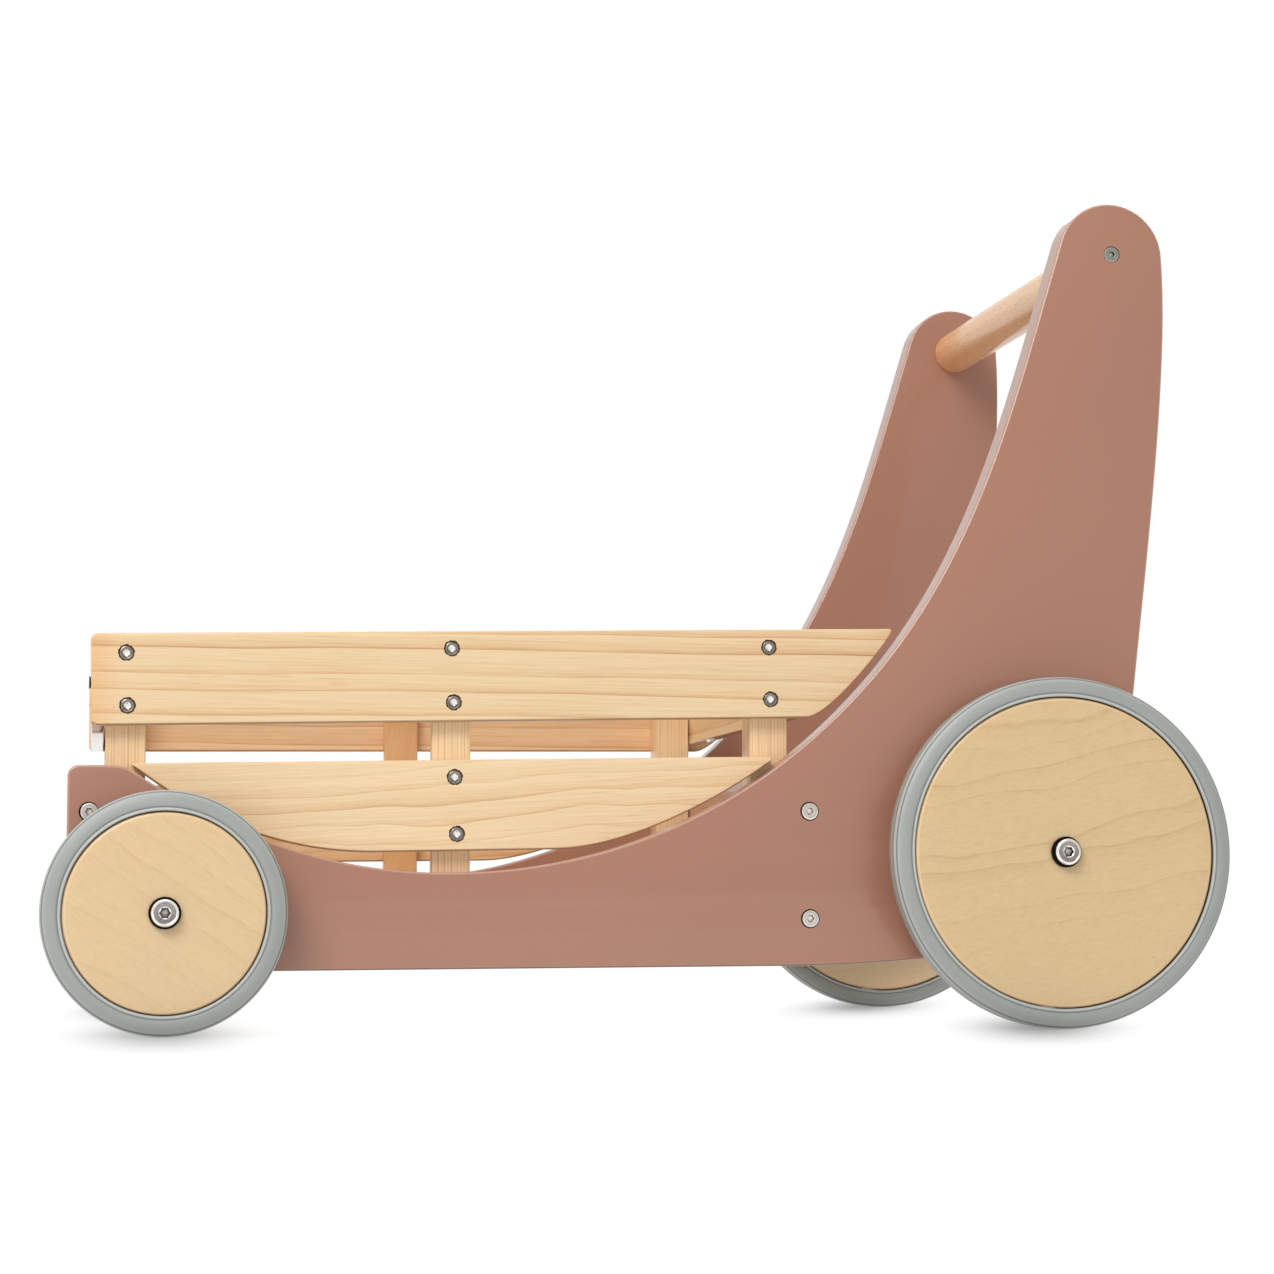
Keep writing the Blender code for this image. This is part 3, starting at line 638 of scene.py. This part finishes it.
floorLow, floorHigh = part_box("floor_board")
outline = np.vstack([floorEdge("left"), floorEdge("right")[::-1]])
shape = slab(outline, floorLow.z, floorHigh.z, floorBoard["edge"], "XYZ", bend=2)
addPiece("floorBoard", shape, "frame", plywood, ["floor_board"])
print("boards, floor and posts made")

# slats: outlines before they are tilted, with their screws at (x, z) on them; the rounded edge grows from the
# lower slats' thin tips, and a trimmed slat's front end is drawn back
slat = {
    "thick": 0.008, "high": 0.0467, "frontX": -0.2834, "corner": 0.0036, "tip": 0.0016, "edge": 0.0012,
    "tipEdge": 0.0005, "edgeGrowth": 0.12, "frontPart": 0.02, "trim": {"right_upper": 0.0009},
}
upperZ, lowerZ = 0.1591, 0.0921
# tilt in degrees and drop of each side's slats
slatSet = {
    "left": {"upper": (1.18, 0.0), "lower": (1.03, 0.0)},
    "right": {"upper": (0.46, 0.0011), "lower": (0.60, 0.0010)},
}
slatScrew = {
    "hole": 0.0042, "core": 0.0022, "head": 0.0033, "shank": 0.0018, "long": 0.014, "point": 0.004,
    "sunk": 0.0004, "torn": 0.022, "count": 48,
}
slatScrewPlaces = {
    "upper": [
        (-0.2657, 0.1957), (-0.2654, 0.1689), (-0.1000, 0.1968), (-0.0995, 0.1689),
        (0.0679, 0.1963), (0.0681, 0.1689),
    ],
    "lower": [(-0.0983, 0.1299), (-0.0976, 0.1007)],
}


def upperOutline():
    # a strip with small round corners whose rear end sweeps up to a round tip
    low, high, r = upperZ, upperZ + slat["high"], slat["corner"]
    front = slat["frontX"] + r
    return np.vstack([
        arc((front, low + r), r, 180, 270, 8),
        bezier((0.0874, low), (0.1003, low), (0.1336, 0.1996), (0.1349, high - 0.0022), 40),
        arc((0.1336, high - slat["tip"]), slat["tip"], -5, 90, 8),
        arc((front, high - r), r, 90, 180, 8),
    ])


def lowerOutline():
    # a strip whose two ends follow the panel's sweep to thin tips
    low, high, tip = lowerZ, lowerZ + slat["high"], slat["tip"]
    return np.vstack([
        bezier((-0.2619, high - 0.001), (-0.2157, 0.1006), (-0.1719, low), (-0.1382, low), 40),
        bezier((-0.0454, low), (-0.0080, low), (0.0434, 0.1179), (0.0693, high - 0.002), 40),
        arc((0.0677, high - tip), tip, 0, 90, 6),
        arc((-0.2607, high - 0.0010), 0.0010, 90, 170, 4),
    ])


def tiltedSlat(points, outline, setting):
    # points turned by the tilt about the middle of the outline's box, then lowered
    tilt, drop = setting
    middle = (outline.min(0) + outline.max(0)) / 2
    return turnedAbout(np.asarray(points, float), middle, tilt) - [0, drop]


def crossScrew(centre, axis, sign, proud):
    # a dished countersunk head with a cross recess, its cone, shank and point, as distances out from the
    # slat's face
    head, shank, long = slatScrew["head"], slatScrew["shank"], slatScrew["long"]
    # the tones paint the cross recess bright as a highlight and the head's edge a little lighter
    rows = [
        (-0.0016, 0.0, 1, 0.9), (-0.0012, 0.0007, 1, 1.0), (-0.0005, 0.0014, 1, 0.6), (-0.0004, 0.0016, 0.6, 0.7),
        (-0.0003, 0.0019, 0, 0.1), (-0.0002, 0.0026, 0, 0.0), (-0.0001, head - 0.0003, 0, 0.05),
        (-0.0002, head, 0, 0.3), (-0.0004, head, 0, 0.0), (-0.0022, shank),
        (slatScrew["point"] - long, shank), (-long, 0.0),
    ]
    rows = [(row[0] + proud,) + tuple(row[1:]) for row in rows]
    return turnedShape(rows, centre, slatScrew["count"], axis, sign, crossRecess)


slatHole = [
    (0.0, slatScrew["hole"]), (0.0002, slatScrew["hole"] * 0.99),
    (0.0026, slatScrew["core"]), (slat["thick"], slatScrew["core"]),
]
slatFinish = {"left": {"upper": pine, "lower": pineWaved}, "right": {"upper": pineFarLit, "lower": pineFarWavedLit}}
slatOutline = {"upper": upperOutline(), "lower": lowerOutline()}
for side, sign in sides.items():
    face = sign * (panelIn + slat["thick"])
    for level, outline in slatOutline.items():
        setting = slatSet[side][level]
        tips = np.array([outline[outline[:, 0].argmin()], outline[outline[:, 0].argmax()]])
        away = np.linalg.norm(outline[:, None, :] - tips[None], axis=2).min(1)
        grown = np.clip(slat["tipEdge"] + away * slat["edgeGrowth"], 0.0, slat["edge"])
        edge = grown if level == "lower" else slat["edge"]
        nearFront = outline[:, 0] < tips[0, 0] + slat["frontPart"]
        outline = outline + np.outer(nearFront, (slat["trim"].get(f"{side}_{level}", 0.0), 0.0))
        screws = tiltedSlat(slatScrewPlaces[level], outline, setting)
        holes = [(spot, slatHole, slatScrew["torn"]) for spot in screws]
        shape = slab(tiltedSlat(outline, outline, setting), face, sign * panelIn, edge, "XZY", holes)
        addPiece(f"{side}Slat_{level}", shape, "frame", slatFinish[side][level], [f"{level}_slat_{side}"])
        for number, (x, z) in enumerate(screws):
            shape = crossScrew((x, face, z), "Y", sign, -slatScrew["sunk"])
            addPiece(f"{side}SlatScrew_{level}{number + 1}", shape, "frame", slatSteel, sharp=30)

# cross slats: the front one's right end sits further back by the skew; proud is how far each screw stands out
crossSlat = {
    "screwZ": {"front": 0.1777, "rear": 0.1845}, "screwY": 0.1292, "skew": {"front": 0.0018, "rear": 0.0},
    "corner": 0.0040, "edge": 0.0007, "inset": {"front": 0.0008, "rear": 0.0},
    "proud": {"front_left": 0.0007, "front_right": -0.0010, "rear_left": 0.0007, "rear_right": 0.0007},
}
for end, sign in (("front", -1), ("rear", 1)):
    low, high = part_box(f"{end}_cross_slat")
    outer = low.x if end == "front" else high.x
    face, back = outer - sign * crossSlat["inset"][end], outer - sign * slat["thick"]
    skew = crossSlat["skew"][end] / (high.y - low.y)
    outline = roundedRectangle((low.y, low.z), (high.y, high.z), crossSlat["corner"], 8)
    spots = [(y, crossSlat["screwZ"][end]) for y in (-crossSlat["screwY"], crossSlat["screwY"])]
    holes = [(spot, slatHole, slatScrew["torn"]) for spot in spots]
    shape = slab(outline, face, back, crossSlat["edge"], "YZX", holes)
    shape[0][:, 0] += skew * (shape[0][:, 1] - low.y)
    addPiece(f"{end}CrossSlat", shape, "frame", pineCross, [f"{end}_cross_slat"])
    for side, (y, z) in zip(sides, spots):
        centre = (outer + skew * (y - low.y), y, z)
        shape = crossScrew(centre, "X", sign, crossSlat["proud"][f"{end}_{side}"])
        addPiece(f"{end}CrossScrew_{side}", shape, "frame", slatSteel, sharp=30)
print("slats and their screws made")

handle = {"r": 0.0125, "chamfer": 0.0006, "halfRings": 12, "count": 96}
reach, bevel, half = panelIn - gap, handle["chamfer"], handle["halfRings"]
rows = [(-reach, 0.0), (-reach, handle["r"] - bevel), (bevel - reach, handle["r"])]
rows += [(reach * (k / half - 1), handle["r"]) for k in range(1, 2 * half)]
rows += [(reach - bevel, handle["r"]), (reach, handle["r"] - bevel), (reach, 0.0)]
handleX, handleZ = screwPlaces["handle_screw"]
shape = turnedShape(rows, (handleX, 0.0, handleZ), handle["count"])
addPiece("handleBar", shape, "frame", beech, ["handle"])
print("handle made")

# wheels: distances from the walker's middle, radii from the axle
wheel = {"in": 0.1725, "out": 0.1875, "bore": 0.0060, "chamfer": 0.0012, "tyreIn": 0.1715, "tyreOut": 0.1885}
discR = {"front": 0.0498, "rear": 0.0805}
# tread rows are (distance from the tyre's middle, tone), wall rows (drop from the tread, depth of the cut, tone)
# and bead rows (distance from the tyre's middle, height over the disc's seat, tone)
# a tone below 0 is painted shade in the grooves, the dip and the bore, above 0 a painted highlight on ridges and lip
tyre = {
    "slack": 0.0003, "lip": 0.0030, "shoulder": 0.0041, "wallY": 0.0044,
    "tread": [(0.0, 0.0), (0.0018, 0.1), (0.0021, -0.5), (0.0032, -0.5), (0.0035, 0.3)],
    "wall": [
        (0.0, 0.0, 0.35), (0.0006, 0.0, 0.35), (0.0008, 0.00004, -0.5), (0.0012, 0.00004, -0.5),
        (0.0014, 0.0, 0.25), (0.0022, 0.0, 0.10), (0.0034, 0.0, 0.0), (0.0046, 0.0, 0.0), (0.0058, 0.0, 0.0),
    ],
    "bead": [
        (0.0083, 0.0024, -0.1), (0.0081, 0.0021, -0.42), (0.0081, 0.0018, -0.42), (0.0084, 0.0014, 0.40),
        (0.0085, 0.0009, 0.50), (0.0083, 0.0004, 0.30), (0.0077, 0.0001, -0.1), (0.0072, 0.0, -1.0),
        (0.0032, 0.0, -1.0), (0.0028, -0.00015, -1.0),
    ],
}
bolt = {
    "shank": 0.0040, "head": 0.0068, "high": 0.0030, "socket": 0.0028, "tail": 0.0075, "tailR": 0.0030,
    "flange": 0.0080, "flangeT": 0.0023,
}
nut = {"high": 0.0065, "corner": 0.0075, "face": 0.0062, "bevel": 0.0007}
spacerBevel = 0.0004


def tyreProfile(tyreR, seat):
    # one half of the section, mirrored about the wheel's middle: a tread line painted dark as shade, a wall that is a
    # quarter ellipse with a line cut in its outer part, a dip beside the lip, and a bore painted as shade where it
    # closes on the disc
    half = [(y, tyreR, 0, tone) for y, tone in tyre["tread"]]
    rise = tyreR - seat - tyre["lip"]
    for drop, cut, tone in tyre["wall"]:
        across = math.sqrt(1 - (1 - drop / rise) ** 2)
        half.append((tyre["shoulder"] + tyre["wallY"] * across - cut, tyreR - drop - cut, 0, tone))
    half += [(tyre["shoulder"] + tyre["wallY"], seat + tyre["lip"], 0, 0.0)]
    half += [(y, seat + r, 0, tone) for y, r, tone in tyre["bead"]]
    middle = (wheel["tyreIn"] + wheel["tyreOut"]) / 2
    return [(middle + y, *rest) for y, *rest in half] + [(middle - y, *rest) for y, *rest in reversed(half[1:])]


def discProfile(radius):
    # a flat face, an edge rounded in three steps of (depth, radius, tone) times the chamfer and painted lighter as a
    # highlight, and a side painted dark as shade where the tyre grips it
    low, high, c = wheel["in"], wheel["out"], wheel["chamfer"]
    steps = ((0.0, 1.6, 0.0), (0.1, 1.1, 1.0), (0.4, 0.4, 1.0))
    flat = [wheel["bore"]] + [radius * k / 8 for k in range(1, 8) if radius * k / 8 > wheel["bore"]]
    rows = [(high, r) for r in flat] + [(high - d * c, radius - r * c, 0, tone) for d, r, tone in steps]
    rows += [(high - c, radius, 0, -0.8), (low + c, radius, 0, -0.8)]
    rows += [(low + d * c, radius - r * c, 0, tone) for d, r, tone in reversed(steps)]
    return rows + [(low, r) for r in reversed(flat)]


def bushProfile():
    # a sleeve in the disc's bore with a flange outside it
    bore, seat, flange = bolt["shank"] + gap, wheel["out"] + gap, bolt["flange"]
    top, sleeve = seat + bolt["flangeT"], wheel["bore"] - gap
    return [
        (wheel["in"], bore), (wheel["in"], sleeve), (seat, sleeve), (seat, flange - 0.0003),
        (seat + 0.0003, flange), (top - 0.0005, flange), (top - 0.0001, flange - 0.0003),
        (top, flange - 0.0006), (top, bore),
    ]


def spacerProfile():
    # a tube from the panel to the wheel with both outer corners turned off
    low, high, bore, outside = panel["out"] + gap, wheel["in"] - gap, bolt["shank"] + gap, bolt["flange"]
    return [
        (low, bore), (low, outside - spacerBevel), (low + spacerBevel, outside),
        (high - spacerBevel, outside), (high, outside - spacerBevel), (high, bore),
    ]


def nutProfile():
    # a hexagon whose corners are turned off at both faces
    low, high, bore = panelIn - gap - nut["high"], panelIn - gap, bolt["shank"] + gap
    return [
        (low, bore), (low, nut["face"], 0, 0.3), (low + nut["bevel"], nut["corner"], 1, 0.5),
        (high - nut["bevel"], nut["corner"], 1, 0.5), (high, nut["face"]), (high, bore),
    ]


def boltProfile():
    # from the tail inside the panel to the head with a rim painted bright as a highlight, a dull face and a hexagon
    # socket painted dark inside as shade
    tail, seat = panelIn - gap - bolt["tail"], wheel["out"] + bolt["flangeT"] + 2 * gap
    shank, head, socket, top = bolt["shank"], bolt["head"], bolt["socket"], seat + bolt["high"]
    return [
        (tail, 0.0), (tail, bolt["tailR"]), (tail + 0.0010, shank), (seat, shank), (seat, head - 0.0003),
        (seat + 0.0003, head, 0, 0.2), (top - 0.0009, head, 0, 0.5), (top - 0.0005, head - 0.0002, 0, 1.0),
        (top - 0.0001, head - 0.0007, 0, 1.0), (top, head - 0.0012, 0, 1.0), (top - 0.0001, head - 0.0014, 0, 0.0),
        (top - 0.0001, socket + 0.0005, 0, 0.0), (top - 0.0002, socket + 0.0002, 0.5, 0.9),
        (top - 0.0005, socket, 1, 0.8), (top - 0.0020, socket * 0.96, 1, -0.3), (top - 0.0026, 0.0, 1, 0.2),
    ]


nearBirch = {"rear_left": birchRear, "front_left": birchFront}
for end, (x, z) in axle.items():
    for side, sign in sides.items():
        label, centre, body = f"{end}_{side}", (x, 0.0, z), f"{end}_{side}_wheel"
        # the right wheels' discs take the lightened birch as painted light
        birch = nearBirch.get(label, birchFarLit)
        # rows, points round, unit shape, closed ring, finish, slot, body, sharp angle
        parts = {
            "tyre": (tyreProfile(z, discR[end] + tyre["slack"]), 360, None, True, rubber, "tyre", body, 30),
            "disc": (discProfile(discR[end]), 360, None, True, birch, "plywood", body, 50),
            "bush": (bushProfile(), 64, None, True, blackPlastic, "black_plastic", body, 30),
            "spacer": (spacerProfile(), 64, None, True, blackPlastic, "black_plastic", "frame", 30),
            "nut": (nutProfile(), 72, turnedHexagon, True, platedSteel, "steel", "frame", 25),
            "axle_bolt": (boltProfile(), 72, hexagon, False, boltSteel, "steel", "frame", 25),
        }
        for name, (rows, count, unit, ring, finish, slotName, rider, sharp) in parts.items():
            shape = turnedShape(rows, centre, count, sign=sign, unit=unit, ring=ring)
            addPiece(f"{label}_{name}Piece", shape, rider, finish, [f"{label}_{name}"], sharp)
print("wheels and axles made")

# floor, light and camera
studio = {
    "floor": 0.30, "bounce": 0.42, "inView": 0.08, "floorHalf": 40.0, "floorZ": -0.0004, "sky": 0.34,
    "dark": 0.58, "bright": 0.95, "turn": (-0.75, -0.10), "front": 54.0, "low": 10.0, "top": 3.0, "back": 24.0,
}
# painted shadow beside each wheel: how much darker the floor is, and how far that reaches along X and Y
paintedWheelShadow = {
    "front": 0.56, "rear": 0.70, "reach": (0.034, 0.150), "middle": 0.180, "back": 0.035,
    "shear": {"front": 0.03, "rear": 0.31},
}


def stagePlane(name, half, height, material):
    # a square from -half to half along X and Y at a height, outside the object
    corners = [(-half, -half, height), (half, -half, height), (half, half, height), (-half, half, height)]
    mesh = bpy.data.meshes.new(name)
    mesh.from_pydata(corners, [], [(0, 1, 2, 3)])
    mesh.materials.append(material)
    made = bpy.data.objects.new(name, mesh)
    bpy.context.scene.collection.objects.link(made)


# the floor glows white in view, less by share·e^-(dx² + dy²) where each wheel meets it, as a painted shadow,
# and lights the object as a matt floor
floorFinish = bpy.data.materials.new("paleFloor")
floorFinish.use_nodes = True
tree = floorFinish.node_tree
tree.nodes.clear()
path = put(tree, "LightPath")
seen = calc(tree, "MAXIMUM", path.outputs["Is Camera Ray"], path.outputs["Is Glossy Ray"])
tone = ranged(tree, seen, studio["floor"], studio["inView"])
matt = put(tree, "BsdfDiffuse", {"Color": put(tree, "CombineColor", {0: tone, 1: tone, 2: tone}).outputs[0]})
along, across, _ = objectPlace(tree)
level = ranged(tree, seen, studio["bounce"], 1.0)
for end, (x, _) in axle.items():
    for sign in sides.values():
        dy = calc(tree, "SUBTRACT", across, sign * paintedWheelShadow["middle"] + paintedWheelShadow["back"])
        sheared = calc(tree, "MULTIPLY", dy, paintedWheelShadow["shear"][end])
        dx = calc(tree, "SUBTRACT", calc(tree, "SUBTRACT", along, x), sheared)
        shares = [calc(tree, "DIVIDE", d, reach) for d, reach in zip((dx, dy), paintedWheelShadow["reach"])]
        far = calc(tree, "ADD", *[calc(tree, "POWER", share, 2.0) for share in shares])
        shade = calc(tree, "POWER", math.e, calc(tree, "MULTIPLY", far, -1.0))
        left = calc(tree, "SUBTRACT", 1.0, calc(tree, "MULTIPLY", shade, paintedWheelShadow[end]))
        level = calc(tree, "MULTIPLY", level, left)
glow = put(tree, "Emission", {"Strength": level})
both = put(tree, "AddShader", {0: matt.outputs[0], 1: glow.outputs[0]})
put(tree, "OutputMaterial", {"Surface": both.outputs[0]})
stagePlane("paleFloor", studio["floorHalf"], studio["floorZ"], floorFinish)

# the camera sees white, reflections see a room that is darker towards -Y, and an even sky lights the object
world = bpy.data.worlds.new("studioWorld")
world.use_nodes = True
bpy.context.scene.world = world
tree = world.node_tree
path = put(tree, "LightPath")
toward = put(tree, "SeparateXYZ", {0: put(tree, "TexCoord").outputs["Generated"]}).outputs["Y"]
room = ranged(tree, toward, studio["dark"], studio["bright"], *studio["turn"])
mirror = put(tree, "Mix", {0: path.outputs["Is Glossy Ray"], 2: studio["sky"], 3: room}).outputs[0]
seen = calc(tree, "MAXIMUM", path.outputs["Is Camera Ray"], path.outputs["Is Transmission Ray"])
strength = put(tree, "Mix", {0: seen, 2: mirror, 3: 1.0}).outputs[0]
tree.links.new(strength, tree.nodes["Background"].inputs["Strength"])
tree.nodes["Background"].inputs["Color"].default_value = (1.0, 1.0, 1.0, 1.0)


def areaLight(name, place, target, size, power):
    # a rectangular lamp whose -Z axis points along target - place
    data = bpy.data.lights.new(name, "AREA")
    data.shape = "RECTANGLE"
    data.size, data.size_y, data.energy = size[0], size[1], power
    lamp = bpy.data.objects.new(name, data)
    lamp.location = place
    lamp.rotation_euler = (Vector(target) - Vector(place)).to_track_quat("-Z", "Y").to_euler()
    bpy.context.scene.collection.objects.link(lamp)
    return lamp


areaLight("frontLight", (-1.40, -2.10, 2.10), (0.0, 0.0, 0.15), (1.6, 1.3), studio["front"])
lowLight = areaLight("lowLight", (-0.20, -2.40, 0.07), (0.0, 0.0, 0.05), (4.0, 0.12), studio["low"])
lowLight.visible_glossy = False
areaLight("topLight", (-0.30, -0.20, 1.60), (0.0, 0.0, 0.15), (1.2, 0.9), studio["top"])
areaLight("backLight", (1.50, 2.20, 1.70), (0.0, 0.0, 0.15), (1.6, 1.3), studio["back"])

# the camera's place and its three axes, fitted to the photograph
eye = {
    "place": (-0.29206, -1.6850, 0.06286), "lens": 84.98, "sensor": 36.0,
    "right": (0.982830, -0.184556, -0.001421), "down": (0.015150, 0.088352, -0.995984),
    "forward": (0.183940, 0.978843, 0.089631),
}
camera = bpy.data.objects.new("photoCamera", bpy.data.cameras.new("photoCamera"))
camera.data.sensor_width = eye["sensor"]
camera.data.lens = eye["lens"]
columns = [Vector(eye["right"]), -Vector(eye["down"]), -Vector(eye["forward"])]
camera.matrix_world = Matrix.Translation(eye["place"]) @ Matrix(columns).transposed().to_4x4()
bpy.context.scene.collection.objects.link(camera)
bpy.context.scene.camera = camera
bpy.context.scene.view_settings.view_transform = "Standard"
print("floor, light and camera made")
